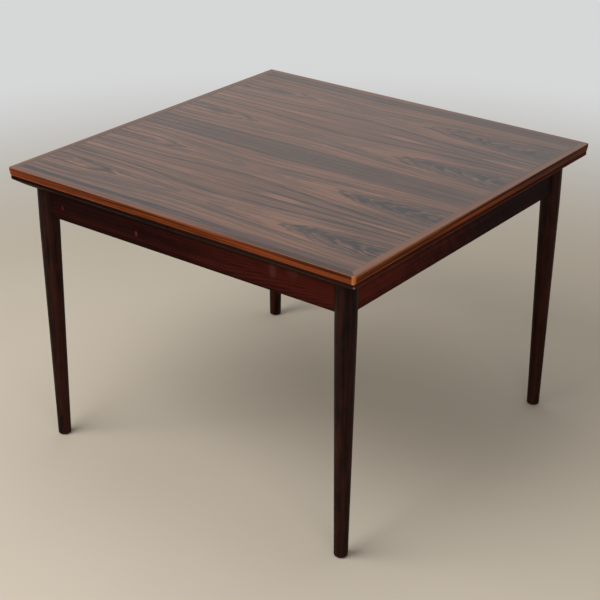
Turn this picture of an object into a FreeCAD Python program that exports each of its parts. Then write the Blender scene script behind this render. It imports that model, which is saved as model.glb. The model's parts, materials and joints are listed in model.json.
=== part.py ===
import FreeCAD, Part
import os

# Square draw-leaf dining table, closed. Millimetres, Z up, origin on the floor under the middle of the top.
# X runs along the draw of the two leaves, -Y is the front.

# Overall sizes
TOP_LENGTH = 1000.0
TOP_WIDTH = 1000.0
HEIGHT = 730.0

# Top
TOP_THICK = 20.0
TOP_EDGE_BAND = 8.0
TOP_EDGE_SLOPE = 2.5
TOP_CORNER_RADIUS = 5.0
TOP_ARRIS = 1.5
LIPPING_WIDTH = 20.0

# Leaves
LEAF_THICK = 20.0
LEAF_EDGE = 7.5
LEAF_END_SETBACK = 1.5
LEAF_SIDE_SETBACK = 2.5
LEAF_SIDE_BEVEL = 15.0
LEAF_END_SWEEP = 55.0
LEAF_CORNER_RADIUS = 6.0
LEAF_ARRIS = 1.0
LEAF_MEETING_GAP = 3.0

# Legs
LEG_INSET = 62.0
LEG_TOP_DIAMETER = 49.0
LEG_FOOT_DIAMETER = 32.4
LEG_COLLAR = 30.0
FOOT_ROUNDING = 3.0
GLIDE_DIAMETER = 22.0
GLIDE_THICK = 2.0
GLIDE_PIN_DIAMETER = 3.0
GLIDE_PIN_LENGTH = 15.0

# Aprons
APRON_HEIGHT = 80.0
APRON_THICK = 22.0
APRON_SETBACK = 50.0
APRON_ARRIS = 2.0
TENON_THICK = 9.0
TENON_SHOULDER = 12.0
TENON_STOP = 7.0
TENON_ROOT = 6.0
HOUSING_DEPTH = 6.0

# Corner blocks
BLOCK_LENGTH = 90.0
BLOCK_HEIGHT = 40.0
BLOCK_RISE = 10.0
BLOCK_SCREW_OFFSET = 65.0

# Centre rail and runners
CENTRE_RAIL_WIDTH = 60.0
CENTRE_RAIL_DEPTH = 36.0
RUNNER_WIDTH = 30.0
RUNNER_INSET = 148.0
RUNNER_SCREW_SPACING = 36.0
TONGUE_HEIGHT = 8.0
TONGUE_DEPTH = 8.0

# Bearers and stop pegs
BEARER_WIDTH = 40.0
BEARER_DEPTH = 22.0
BEARER_END_RECESS = 1.0
BEARER_TAIL_GAP = 8.0
BEARER_SCREWS = 4
BEARER_SCREW_MARGIN = 45.0
PEG_DIAMETER = 12.0
PEG_PROJECTION = 10.0
PEG_SEAT = 10.0

# Guide plates and felt pads under the top
GUIDE_INSET = 130.0
GUIDE_THICK = 2.0
GUIDE_WIDTH = 40.0
GUIDE_FLANGE = 30.0
GUIDE_LEAD_RADIUS = 6.0
GUIDE_SCREW_SPACING = 22.0
FELT_DIAMETER = 16.0
FELT_INSET = 90.0

# Screws; the bite is how far one reaches into the second piece
SCREW_BITE = 12.0
SCREW_DIAMETER = 4.0
SCREW_HEAD_DIAMETER = 8.0
SCREW_HEAD_HEIGHT = 2.4
SCREW_SLOT_WIDTH = 1.0
SCREW_SLOT_DEPTH = 0.9

# Clearances
LEAF_GAP = 1.0
RUN_GAP = 1.0
SLIDE_GAP = 0.4
FELT_GAP = 0.3
GLUE_GAP = 0.15
SCREW_SLACK = 0.1
BLADE_GAP = 0.5
LEG_BLOCK_GAP = 0.5
DRAW_CLEARANCE = 0.5
TOUCH = 0.01

# Levels, from the top down
top_under = HEIGHT - TOP_THICK
leaf_face = top_under - LEAF_GAP
leaf_under = leaf_face - LEAF_THICK
frame_top = leaf_under - RUN_GAP
apron_low = frame_top - APRON_HEIGHT
bearer_low = leaf_under - BEARER_DEPTH
slide_floor = bearer_low - SLIDE_GAP
centre_rail_low = slide_floor - CENTRE_RAIL_DEPTH
tongue_middle = (bearer_low + frame_top) / 2

# Places in plan, all on the positive side
top_x = TOP_LENGTH / 2
top_y = TOP_WIDTH / 2
leaf_inner = LEAF_MEETING_GAP / 2
leaf_outer = top_x - LEAF_END_SETBACK
leaf_y = top_y - LEAF_SIDE_SETBACK
leg_x = top_x - LEG_INSET
leg_y = top_y - LEG_INSET
leg_radius = LEG_TOP_DIAMETER / 2
apron_x = top_x - APRON_SETBACK
apron_y = top_y - APRON_SETBACK
inside_x = apron_x - APRON_THICK
inside_y = apron_y - APRON_THICK
runner_y = inside_y - RUNNER_INSET
guide_y = runner_y - GUIDE_INSET
bearer_offset = RUNNER_WIDTH / 2 + SLIDE_GAP + BEARER_WIDTH / 2
bearer_outer = apron_x - BEARER_END_RECESS
bearer_tail = -(inside_x - BEARER_TAIL_GAP)
leaf_travel = top_x + DRAW_CLEARANCE - leaf_inner
peg_x = inside_x - SLIDE_GAP - leaf_travel - PEG_DIAMETER / 2

# Screw lengths, through the first piece and into the second
block_screw_length = BLOCK_LENGTH - BLOCK_SCREW_OFFSET + SCREW_BITE
runner_screw_length = CENTRE_RAIL_DEPTH + SCREW_BITE
bearer_screw_length = BEARER_DEPTH + SCREW_BITE
guide_screw_length = GUIDE_THICK + SCREW_BITE

# The right leaf has its bearers inside the runners, the left leaf outside them
BEARER_SIDE = {1: -1, -1: 1}
SIDE_NAME = {1: "right", -1: "left"}
FACE_NAME = {1: "back", -1: "front"}

V = FreeCAD.Vector
UP = V(0, 0, 1)
RIGHT_ANGLE = 90.0


def box(x_pair, y_pair, z_pair):
    """Block between two limits on each axis, given in any order."""
    low = V(min(x_pair), min(y_pair), min(z_pair))
    high = V(max(x_pair), max(y_pair), max(z_pair))
    size = high - low
    return Part.makeBox(size.x, size.y, size.z, low)


def prism(points, run):
    """Flat outline swept along a straight run."""
    outline = Part.makePolygon(points + points[:1])
    return Part.Face(outline).extrude(run)


def plan_prism(points, low, high):
    """Outline in plan, swept up between two levels."""
    return prism([V(x, y, low) for x, y in points], V(0, 0, high - low))


def edges_where(shape, test):
    """Edges with both ends in the place that the test describes."""
    return [edge for edge in shape.Edges if all(test(vertex.Point) for vertex in edge.Vertexes)]


def turned(shape, side):
    """A right-hand piece as it is, or turned half round for the left."""
    copy = shape.copy()
    if side < 0:
        copy.rotate(V(0, 0, 0), UP, 2 * RIGHT_ANGLE)
    return copy


def rounded_outline(half_x, half_y, radius, level):
    """Rectangle in plan with four round corners."""
    arcs = []
    for quarter, (sx, sy) in enumerate(((1, 1), (-1, 1), (-1, -1), (1, -1))):
        centre = V(sx * (half_x - radius), sy * (half_y - radius), level)
        arcs.append(Part.makeCircle(radius, centre, UP, quarter * RIGHT_ANGLE, (quarter + 1) * RIGHT_ANGLE))
    edges = []
    for arc, following in zip(arcs, arcs[1:] + arcs[:1]):
        arc_end = arc.valueAt(arc.LastParameter)
        next_start = following.valueAt(following.FirstParameter)
        edges += [arc, Part.makeLine(arc_end, next_start)]
    return Part.Wire(edges)


def screw_blank(start, direction, length, slack=0.0):
    """Countersunk head and plain shank, with the head's flat face at the start point."""
    head_radius = SCREW_HEAD_DIAMETER / 2 + slack
    shank_radius = SCREW_DIAMETER / 2 + slack
    head = Part.makeCone(head_radius, shank_radius, SCREW_HEAD_HEIGHT)
    blank = head.fuse(Part.makeCylinder(shank_radius, length + slack))
    blank.Placement = FreeCAD.Placement(start, FreeCAD.Rotation(UP, direction))
    return blank


def screw(start, direction, length):
    """Slotted wood screw."""
    slot = box((-SCREW_HEAD_DIAMETER, SCREW_HEAD_DIAMETER), (-SCREW_SLOT_WIDTH / 2, SCREW_SLOT_WIDTH / 2),
               (-SCREW_SLOT_DEPTH, SCREW_SLOT_DEPTH))
    slot.Placement = FreeCAD.Placement(start, FreeCAD.Rotation(UP, direction))
    return screw_blank(start, direction, length).cut(slot)


def drilled(shape, places, length):
    """The shape with a hole for each screw."""
    for start, direction in places:
        shape = shape.cut(screw_blank(start, direction, length, SCREW_SLACK))
    return shape


def screw_group(places, length):
    """All screws of one kind as separate solids."""
    return Part.makeCompound([screw(start, direction, length) for start, direction in places])


def border_strips(half_x, half_y, width):
    """Plan outlines of four mitred border strips."""
    outer = {(sx, sy): (sx * half_x, sy * half_y) for sx in (-1, 1) for sy in (-1, 1)}
    inner = {key: (x - key[0] * width, y - key[1] * width) for key, (x, y) in outer.items()}
    strips = {}
    for name, first, last in (("left", (-1, -1), (-1, 1)), ("right", (1, -1), (1, 1)),
                              ("front", (-1, -1), (1, -1)), ("back", (-1, 1), (1, 1))):
        strips[name] = [outer[first], outer[last], inner[last], inner[first]]
    return strips


# Top

def top_blank():
    """Whole top board with its sloping lower edge and softened upper arris."""
    low = rounded_outline(top_x - TOP_EDGE_SLOPE, top_y - TOP_EDGE_SLOPE,
                          TOP_CORNER_RADIUS - TOP_EDGE_SLOPE, top_under)
    middle = rounded_outline(top_x, top_y, TOP_CORNER_RADIUS, HEIGHT - TOP_EDGE_BAND)
    high = rounded_outline(top_x, top_y, TOP_CORNER_RADIUS, HEIGHT)
    blank = Part.makeLoft([low, middle, high], True, True)
    return blank.makeFillet(TOP_ARRIS, edges_where(blank, lambda point: point.z > HEIGHT - TOUCH))


def guide_screw_places():
    """Start and direction of the screws that hold the guide plates."""
    x = (GUIDE_THICK / 2 + GUIDE_FLANGE) / 2
    return [(V(x, side * guide_y + step * GUIDE_SCREW_SPACING / 2, top_under), UP)
            for side in (-1, 1) for step in (-1, 1)]


def guide_plate(side):
    """Angle plate: its flange is let into the top, its blade hangs into the centre rail."""
    width = (side * guide_y - GUIDE_WIDTH / 2, side * guide_y + GUIDE_WIDTH / 2)
    half = GUIDE_THICK / 2
    blade = box((-half, half), width, (centre_rail_low, top_under + GUIDE_THICK))
    blade = blade.makeFillet(GUIDE_LEAD_RADIUS, [edge for edge in edges_where(
        blade, lambda point: point.z < centre_rail_low + TOUCH) if edge.Length < GUIDE_THICK + TOUCH])
    flange = box((-half, GUIDE_FLANGE), width, (top_under, top_under + GUIDE_THICK))
    plate = blade.fuse(flange).removeSplitter()
    return drilled(plate, guide_screw_places(), guide_screw_length)


def guide_recess(side):
    """Pocket in the underside of the top for a guide plate's flange."""
    reach = GUIDE_WIDTH / 2 + GLUE_GAP
    return box((-GUIDE_THICK / 2 - GLUE_GAP, GUIDE_FLANGE + GLUE_GAP),
               (side * guide_y - reach, side * guide_y + reach), (top_under, top_under + GUIDE_THICK))


def felt_pads():
    """Felt discs on the underside of the top, just above the leaves."""
    thick = LEAF_GAP - FELT_GAP
    pads = []
    for sx in (-1, 1):
        for sy in (-1, 1):
            for x in (leaf_inner + FELT_INSET, leaf_outer - FELT_INSET):
                place = V(sx * x, sy * (leaf_y - FELT_INSET), top_under - thick)
                pads.append(Part.makeCylinder(FELT_DIAMETER / 2, thick, place))
    return Part.makeCompound(pads)


def top_parts():
    """Panel, lippings, guide plates and felt of the loose top."""
    blank = top_blank()
    parts = {}
    for name, outline in border_strips(top_x, top_y, LIPPING_WIDTH).items():
        parts["top_lipping_" + name] = blank.common(plan_prism(outline, top_under, HEIGHT))
    field_x = top_x - LIPPING_WIDTH
    field_y = top_y - LIPPING_WIDTH
    panel = box((-field_x, field_x), (-field_y, field_y), (top_under, HEIGHT))
    for side in (-1, 1):
        panel = panel.cut(guide_recess(side))
        parts["guide_plate_" + FACE_NAME[side]] = guide_plate(side)
    parts["top_panel"] = drilled(panel, guide_screw_places(), guide_screw_length)
    parts["guide_plate_screws"] = screw_group(guide_screw_places(), guide_screw_length)
    parts["felt_pads"] = felt_pads()
    return parts


# Leaves, modelled on the right and turned half round for the left

def leaf_blank():
    """Whole leaf board: bevelled under its sides, swept up under its outer end."""
    edge_low = leaf_face - LEAF_EDGE
    bevel_y = leaf_y - LEAF_SIDE_BEVEL
    section = [V(leaf_inner, y, z) for y, z in (
        (-leaf_y, leaf_face), (leaf_y, leaf_face), (leaf_y, edge_low),
        (bevel_y, leaf_under), (-bevel_y, leaf_under), (-leaf_y, edge_low))]
    bevelled = prism(section, V(leaf_outer - leaf_inner, 0, 0))
    rise = edge_low - leaf_under
    sweep_radius = (LEAF_END_SWEEP ** 2 + rise ** 2) / (2 * rise)
    sweep_x = leaf_outer - LEAF_END_SWEEP
    drum_centre = V(sweep_x, -leaf_y, leaf_under + sweep_radius)
    drum = Part.makeCylinder(sweep_radius, 2 * leaf_y, drum_centre, V(0, 1, 0))
    tip = box((sweep_x, leaf_outer), (-leaf_y, leaf_y), (leaf_under, leaf_face))
    swept = bevelled.cut(tip.cut(drum))
    plan = box((leaf_inner, leaf_outer), (-leaf_y, leaf_y), (leaf_under, leaf_face))
    corners = edges_where(plan, lambda point: point.x > leaf_outer - TOUCH)
    plan = plan.makeFillet(LEAF_CORNER_RADIUS, [edge for edge in corners if edge.Length < LEAF_THICK + TOUCH])
    blank = swept.common(plan)
    arris = [edge for edge in edges_where(blank, lambda point: point.z > leaf_face - TOUCH)
             if edge.BoundBox.XMax > leaf_inner + TOUCH]
    return blank.makeFillet(LEAF_ARRIS, arris)


def bearer_middle(side, face):
    """Y of a bearer of the leaf on that side, before the leaf is turned into place."""
    return face * (runner_y + BEARER_SIDE[side] * bearer_offset)


def bearer_screw_places(side):
    """Start and direction of the screws that hold the bearers under a leaf."""
    first = leaf_inner + BEARER_SCREW_MARGIN
    last = leaf_outer - LEAF_END_SWEEP - BEARER_SCREW_MARGIN
    step = (last - first) / (BEARER_SCREWS - 1)
    return [(V(first + index * step, bearer_middle(side, face), bearer_low), UP)
            for face in (-1, 1) for index in range(BEARER_SCREWS)]


def stop_peg(side, face):
    """Peg in the bearer's free side that meets the apron when the leaf is fully drawn."""
    away = face * BEARER_SIDE[side]
    seat = bearer_middle(side, face) + away * (BEARER_WIDTH / 2 - PEG_SEAT)
    start = V(peg_x, seat, tongue_middle)
    return Part.makeCylinder(PEG_DIAMETER / 2, PEG_SEAT + PEG_PROJECTION, start, V(0, away, 0))


def bearer(side, face):
    """Grooved bar under the leaf: it slides along the runner and through the end apron."""
    middle = bearer_middle(side, face)
    towards = -face * BEARER_SIDE[side]
    near_side = middle + towards * BEARER_WIDTH / 2
    bar = box((bearer_tail, bearer_outer), (middle - BEARER_WIDTH / 2, middle + BEARER_WIDTH / 2),
              (bearer_low, leaf_under))
    relief = box((bearer_tail, leaf_inner), (middle - BEARER_WIDTH / 2, middle + BEARER_WIDTH / 2),
                 (frame_top, leaf_under))
    groove_reach = TONGUE_HEIGHT / 2 + SLIDE_GAP
    groove = box((bearer_tail, bearer_outer), (near_side, near_side - towards * (TONGUE_DEPTH + SLIDE_GAP)),
                 (tongue_middle - groove_reach, tongue_middle + groove_reach))
    bar = bar.cut(relief).cut(groove).cut(stop_peg(side, face))
    return drilled(bar, bearer_screw_places(side), bearer_screw_length)


def leaf_parts(side):
    """Panel, lippings, bearers, pegs and screws of one leaf."""
    name = SIDE_NAME[side] + "_leaf_"
    blank = leaf_blank()
    strips = border_strips(leaf_outer, leaf_y, LIPPING_WIDTH)
    field_y = leaf_y - LIPPING_WIDTH
    field = box((leaf_inner, leaf_outer - LIPPING_WIDTH), (-field_y, field_y), (leaf_under, leaf_face))
    parts = {name + "end_lipping": blank.common(plan_prism(strips["right"], leaf_under, leaf_face))}
    pegs = []
    for face in (-1, 1):
        face_name = FACE_NAME[face * side]
        strip = plan_prism(strips[FACE_NAME[face]], leaf_under, leaf_face)
        parts[name + face_name + "_lipping"] = blank.common(strip)
        parts[name + face_name + "_bearer"] = bearer(side, face)
        pegs.append(stop_peg(side, face))
    panel = blank.common(field)
    parts[name + "panel"] = drilled(panel, bearer_screw_places(side), bearer_screw_length)
    parts[name + "bearer_screws"] = screw_group(bearer_screw_places(side), bearer_screw_length)
    parts[name + "stop_pegs"] = Part.makeCompound(pegs)
    return {key: turned(shape, side) for key, shape in parts.items()}


# Legs and aprons

def leg_collar(sx, sy):
    """Plain round upper part of a leg, which the aprons meet."""
    low = apron_low - LEG_COLLAR
    return Part.makeCylinder(leg_radius, frame_top - low, V(sx * leg_x, sy * leg_y, low))


def leg_blank(sx, sy):
    """Turned leg: a round collar, a straight taper and a rounded foot."""
    foot_radius = LEG_FOOT_DIAMETER / 2
    foot_top = GLIDE_THICK + FOOT_ROUNDING
    taper_top = apron_low - LEG_COLLAR
    foot = Part.makeCylinder(foot_radius, FOOT_ROUNDING, V(0, 0, GLIDE_THICK))
    foot = foot.fuse(Part.makeCone(foot_radius, leg_radius, taper_top - foot_top, V(0, 0, foot_top)))
    sole = edges_where(foot, lambda point: point.z < GLIDE_THICK + TOUCH)
    foot = foot.makeFillet(FOOT_ROUNDING - TOUCH, sole)
    foot.translate(V(sx * leg_x, sy * leg_y, 0))
    return foot.fuse(leg_collar(sx, sy)).removeSplitter()


def tenon(along, sx, sy, slack=0.0):
    """Tenon of an apron that runs along x or y, at the leg on the given corner."""
    half = TENON_THICK / 2 + slack
    levels = (apron_low + TENON_SHOULDER - slack, frame_top - TENON_SHOULDER + slack)
    stop = TENON_STOP - slack
    root = leg_radius + TENON_ROOT
    if along == "x":
        middle = sy * (apron_y - APRON_THICK / 2)
        return box((sx * (leg_x - stop), sx * (leg_x - root)), (middle - half, middle + half), levels)
    middle = sx * (apron_x - APRON_THICK / 2)
    return box((middle - half, middle + half), (sy * (leg_y - stop), sy * (leg_y - root)), levels)


def leg(sx, sy):
    """Leg with two mortises and the hole for its glide."""
    shape = leg_blank(sx, sy).cut(tenon("x", sx, sy, GLUE_GAP)).cut(tenon("y", sx, sy, GLUE_GAP))
    pin_hole = Part.makeCylinder(GLIDE_PIN_DIAMETER / 2 + GLUE_GAP, GLIDE_PIN_LENGTH + GLUE_GAP,
                                 V(sx * leg_x, sy * leg_y, GLIDE_THICK))
    return shape.cut(pin_hole)


def foot_glides():
    """Pressed-in disc under every foot."""
    glides = []
    for sx in (-1, 1):
        for sy in (-1, 1):
            disc = Part.makeCylinder(GLIDE_DIAMETER / 2, GLIDE_THICK, V(sx * leg_x, sy * leg_y, 0))
            pin = Part.makeCylinder(GLIDE_PIN_DIAMETER / 2, GLIDE_THICK + GLIDE_PIN_LENGTH,
                                    V(sx * leg_x, sy * leg_y, 0))
            glides.append(disc.fuse(pin).removeSplitter())
    return Part.makeCompound(glides)


def soft_lower_edges(board):
    """Board with its long lower edges rounded."""
    longest = max(board.BoundBox.XLength, board.BoundBox.YLength)
    lower = edges_where(board, lambda point: point.z < apron_low + TOUCH)
    return board.makeFillet(APRON_ARRIS, [edge for edge in lower if edge.Length > longest - TOUCH])


def side_apron(sy):
    """Front or back apron, tenoned into two legs and housed for the centre rail."""
    board = soft_lower_edges(box((-leg_x, leg_x), (sy * inside_y, sy * apron_y), (apron_low, frame_top)))
    for sx in (-1, 1):
        board = board.cut(leg_collar(sx, sy)).fuse(tenon("x", sx, sy))
    return drilled(board.cut(centre_rail_blank()).removeSplitter(), block_screw_places(), block_screw_length)


def end_apron(side):
    """Left or right apron, notched for its own leaf's bearers and housed for the runners."""
    board = soft_lower_edges(box((side * inside_x, side * apron_x), (-leg_y, leg_y), (apron_low, frame_top)))
    notch_reach = BEARER_WIDTH / 2 + SLIDE_GAP
    for face in (-1, 1):
        board = board.cut(leg_collar(side, face)).fuse(tenon("y", side, face))
        middle = bearer_middle(side, face)
        board = board.cut(box((side * inside_x, side * apron_x), (middle - notch_reach, middle + notch_reach),
                              (slide_floor, frame_top)))
        board = board.cut(runner_core(face))
    return drilled(board.removeSplitter(), block_screw_places(), block_screw_length)


# Inside of the frame

def block_screw_places():
    """Start and direction of the two screws in every corner block."""
    height = apron_low + BLOCK_RISE + BLOCK_HEIGHT / 2
    through = BLOCK_LENGTH - BLOCK_SCREW_OFFSET
    places = []
    for sx in (-1, 1):
        for sy in (-1, 1):
            into_end = V(sx * (inside_x - through), sy * (inside_y - BLOCK_SCREW_OFFSET), height)
            into_side = V(sx * (inside_x - BLOCK_SCREW_OFFSET), sy * (inside_y - through), height)
            places += [(into_end, V(sx, 0, 0)), (into_side, V(0, sy, 0))]
    return places


def corner_block(sx, sy):
    """Three-cornered block glued and screwed behind a leg, with a flat seat for each screw head."""
    low = apron_low + BLOCK_RISE
    corners = [(sx * inside_x, sy * inside_y), (sx * (inside_x - BLOCK_LENGTH), sy * inside_y),
               (sx * inside_x, sy * (inside_y - BLOCK_LENGTH))]
    block = plan_prism(corners, low, low + BLOCK_HEIGHT)
    clearance = Part.makeCylinder(leg_radius + LEG_BLOCK_GAP, BLOCK_HEIGHT, V(sx * leg_x, sy * leg_y, low))
    block = block.cut(clearance)
    seat_radius = SCREW_HEAD_DIAMETER / 2 + SCREW_SLACK
    for start, direction in block_screw_places():
        block = block.cut(Part.makeCylinder(seat_radius, SCREW_HEAD_DIAMETER, start, direction * -1))
    return drilled(block, block_screw_places(), block_screw_length)


def centre_rail_blank():
    """Rail across the frame, housed in the front and back aprons."""
    half = CENTRE_RAIL_WIDTH / 2
    reach = inside_y + HOUSING_DEPTH
    return box((-half, half), (-reach, reach), (centre_rail_low, slide_floor))


def centre_rail():
    """Centre rail with a slot for each guide plate."""
    rail = centre_rail_blank()
    for side in (-1, 1):
        half = GUIDE_WIDTH / 2 + BLADE_GAP
        rail = rail.cut(box((-GUIDE_THICK / 2 - BLADE_GAP, GUIDE_THICK / 2 + BLADE_GAP),
                            (side * guide_y - half, side * guide_y + half), (centre_rail_low, slide_floor)))
    return drilled(rail, runner_screw_places(), runner_screw_length)


def runner_screw_places():
    """Start and direction of the screws that hold the runners on the centre rail."""
    return [(V(step * RUNNER_SCREW_SPACING / 2, face * runner_y, centre_rail_low), UP)
            for face in (-1, 1) for step in (-1, 1)]


def runner_core(face):
    """Plain bar of a runner, housed in both end aprons."""
    reach = inside_x + HOUSING_DEPTH
    return box((-reach, reach), (face * runner_y - RUNNER_WIDTH / 2, face * runner_y + RUNNER_WIDTH / 2),
               (slide_floor, frame_top))


def runner(face):
    """Runner with a tongue on each side for the bearers' grooves."""
    reach = RUNNER_WIDTH / 2 + TONGUE_DEPTH
    tongues = box((-inside_x, inside_x), (face * runner_y - reach, face * runner_y + reach),
                  (tongue_middle - TONGUE_HEIGHT / 2, tongue_middle + TONGUE_HEIGHT / 2))
    bar = runner_core(face).fuse(tongues).removeSplitter()
    return drilled(bar, runner_screw_places(), runner_screw_length)


def frame_parts():
    """Everything that stands still."""
    parts = {"foot_glides": foot_glides(), "centre_rail": centre_rail(),
             "runner_screws": screw_group(runner_screw_places(), runner_screw_length),
             "corner_block_screws": screw_group(block_screw_places(), block_screw_length)}
    for sy in (-1, 1):
        parts["apron_" + FACE_NAME[sy]] = side_apron(sy)
        parts["runner_" + FACE_NAME[sy]] = runner(sy)
        for sx in (-1, 1):
            corner = FACE_NAME[sy] + "_" + SIDE_NAME[sx]
            parts["leg_" + corner] = leg(sx, sy)
            parts["corner_block_" + corner] = corner_block(sx, sy)
    for sx in (-1, 1):
        parts["apron_" + SIDE_NAME[sx]] = end_apron(sx)
    return parts


os.makedirs("parts", exist_ok=True)
nodes = {**frame_parts(), **top_parts(), **leaf_parts(1), **leaf_parts(-1)}
for node, shape in nodes.items():
    shape.exportStep("parts/" + node + ".step")
    print(node, len(shape.Solids), "solids", round(shape.Volume), "mm3", shape.isValid())
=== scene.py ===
import json
from math import cos, pi, radians, sin

import bmesh
import bpy
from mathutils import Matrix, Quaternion, Vector


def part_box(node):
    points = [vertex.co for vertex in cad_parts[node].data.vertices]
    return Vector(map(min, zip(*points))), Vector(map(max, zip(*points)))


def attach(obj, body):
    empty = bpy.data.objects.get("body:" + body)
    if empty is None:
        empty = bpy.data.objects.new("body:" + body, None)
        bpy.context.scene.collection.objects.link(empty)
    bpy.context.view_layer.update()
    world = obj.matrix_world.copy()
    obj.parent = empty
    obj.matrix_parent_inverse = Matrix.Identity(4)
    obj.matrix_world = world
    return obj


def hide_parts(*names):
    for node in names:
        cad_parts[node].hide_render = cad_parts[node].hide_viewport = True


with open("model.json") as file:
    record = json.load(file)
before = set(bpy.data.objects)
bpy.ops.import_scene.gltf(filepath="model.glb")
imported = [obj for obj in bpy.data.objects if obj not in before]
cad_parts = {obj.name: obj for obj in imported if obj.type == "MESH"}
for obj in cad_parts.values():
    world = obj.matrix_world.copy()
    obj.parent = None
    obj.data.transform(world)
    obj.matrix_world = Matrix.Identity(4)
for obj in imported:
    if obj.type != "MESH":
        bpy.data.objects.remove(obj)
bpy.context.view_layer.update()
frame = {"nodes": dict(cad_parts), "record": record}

# Finishes and small fittings of a square draw-leaf dining table in rosewood. Metres, Z up, in the frame of
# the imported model: X runs along the draw of the leaves, -Y is the front.

nodes = frame["nodes"]
scene = bpy.context.scene
scene.view_settings.view_transform = "Standard"
ALONG_X, ALONG_Y, ALONG_Z = range(3)


def srgb(red, green, blue):
    """Colour from screen values of 0 to 255."""
    def linear(value):
        share = value / 255
        return share / 12.92 if share <= 0.04045 else ((share + 0.055) / 1.055) ** 2.4
    return linear(red), linear(green), linear(blue), 1.0


class Flow:
    """An output of a node; sums and products of flows add Math nodes to its tree."""

    def __init__(self, tree, socket=None):
        self.tree = tree
        self.socket = socket

    def node(self, kind, settings=None, inputs=None, output=0):
        """A new node's output: settings are made first, then each input gets its value or link."""
        made = self.tree.nodes.new(kind)
        for name, value in (settings or {}).items():
            if name == "stops":
                ramp = made.color_ramp.elements
                while len(ramp) < len(value):
                    ramp.new(0.5)
                for stop, (place, colour) in zip(ramp, value):
                    stop.position = place
                    stop.color = colour
            else:
                setattr(made, name, value)
        for name, value in (inputs or {}).items():
            for part in value if isinstance(value, list) else [value]:
                if isinstance(part, Flow):
                    self.tree.links.new(part.socket, made.inputs[name])
                else:
                    made.inputs[name].default_value = part
        return Flow(self.tree, made.outputs[output] if len(made.outputs) else None)

    def other(self, output):
        """Another output of the same node."""
        return Flow(self.tree, self.socket.node.outputs[output])

    def math(self, operation, *values):
        """A Math node on the given values."""
        return self.node("ShaderNodeMath", {"operation": operation}, dict(enumerate(values)))

    def __add__(self, value):
        return self.math("ADD", self, value)

    def __radd__(self, value):
        return self.math("ADD", value, self)

    def __sub__(self, value):
        return self.math("SUBTRACT", self, value)

    def __rsub__(self, value):
        return self.math("SUBTRACT", value, self)

    def __mul__(self, value):
        return self.math("MULTIPLY", self, value)

    def __rmul__(self, value):
        return self.math("MULTIPLY", value, self)

    def __truediv__(self, value):
        return self.math("DIVIDE", self, value)

    def __rtruediv__(self, value):
        return self.math("DIVIDE", value, self)

    def __abs__(self):
        return self.math("ABSOLUTE", self)

    def step(self, start, end):
        """Rises smoothly from 0 at the start to 1 at the end; the start may be the higher one."""
        limits = {"Value": self, "From Min": start, "From Max": end}
        return self.node("ShaderNodeMapRange", {"interpolation_type": "SMOOTHSTEP"}, limits)

    def near(self, value, inner, outer):
        """1 up to the inner distance from a value, and 0 from the outer one on."""
        return 1 - abs(self - value).step(inner, outer)

    def most(self, value):
        """The higher of two values."""
        return self.math("MAXIMUM", self, value)

    def least(self, value):
        """The lower of two values."""
        return self.math("MINIMUM", self, value)

    def root(self):
        """Square root."""
        return self.math("SQRT", self)

    def wave(self):
        """Cosine."""
        return self.math("COSINE", self)

    def axes(self):
        """The three coordinates of a vector."""
        split = self.node("ShaderNodeSeparateXYZ", inputs={"Vector": self})
        return split, split.other("Y"), split.other("Z")

    def noise(self, scale, detail=2.0, roughness=0.5, shift=0.0):
        """Smooth random value around a half; scale gives the patches per metre along each axis."""
        stretched = self.node("ShaderNodeMapping", inputs={
            "Vector": self, "Location": (shift, shift, shift), "Scale": tuple(scale)})
        return self.node("ShaderNodeTexNoise", inputs={
            "Vector": stretched, "Scale": 1.0, "Detail": detail, "Roughness": roughness})

    def bands(self, per_metre, detail=2.0, shift=0.0):
        """Random value that changes along this one value only."""
        return self.node("ShaderNodeTexNoise", {"noise_dimensions": "1D"}, {
            "W": self * per_metre + shift, "Scale": 1.0, "Detail": detail, "Roughness": 0.6})

    def blend(self, first, second):
        """The first colour where this value is 0, the second where it is 1."""
        return self.node("ShaderNodeMix", {"data_type": "RGBA"}, {0: self, 6: first, 7: second}, output=2)

    def tones(self, *stops):
        """Colour ramp along this value, from pairs of place and colour."""
        return self.node("ShaderNodeValToRGB", {"stops": stops}, {"Fac": self})

    def bump(self, depth, strength):
        """Normal of a surface that rises by the depth where this value goes from 0 to 1."""
        return self.node("ShaderNodeBump", inputs={"Height": self, "Strength": strength, "Distance": depth})


def finish(name, recipe, *values):
    """Material whose shader sockets come from a recipe that is given the place on the piece."""
    material = bpy.data.materials.new(name)
    material.use_nodes = True
    tree = material.node_tree
    shader = tree.nodes["Principled BSDF"]
    place = Flow(tree).node("ShaderNodeTexCoord", output="Object")
    for socket, value in recipe(place, *values).items():
        if isinstance(value, Flow):
            tree.links.new(value.socket, shader.inputs[socket])
        else:
            shader.inputs[socket].default_value = value
    return material


def facing(place):
    """The three coordinates of the surface's normal."""
    return place.node("ShaderNodeNewGeometry", output="Normal").axes()


def near_corner(x, y):
    """Rises to 1 towards the corner of the table between its front and its right end."""
    return x.step(0.0, 0.4) * y.step(0.0, -0.4)


# Grain of all the woods

PORE_DEPTH = 0.00012


def grained(across, lengthwise, along):
    """Patches per metre on each axis, across the grain and along it."""
    scale = [across] * 3
    scale[along] = lengthwise
    return scale


def pores(place, along):
    """Short dark pores that lie with the grain, 1 in a pore and 0 beside it."""
    return place.noise(grained(1900.0, 110.0, along), 1.0).step(0.66, 0.76)


def fibre(place, along):
    """Fine threads of the grain."""
    return place.noise(grained(520.0, 7.0, along), 3.0, 0.6)


# Veneer: four leaves, turned over like pages at their seams. Its figure follows growth rings round a heart
# that lies deepest under the face at the waist and rises towards both ends.

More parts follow.
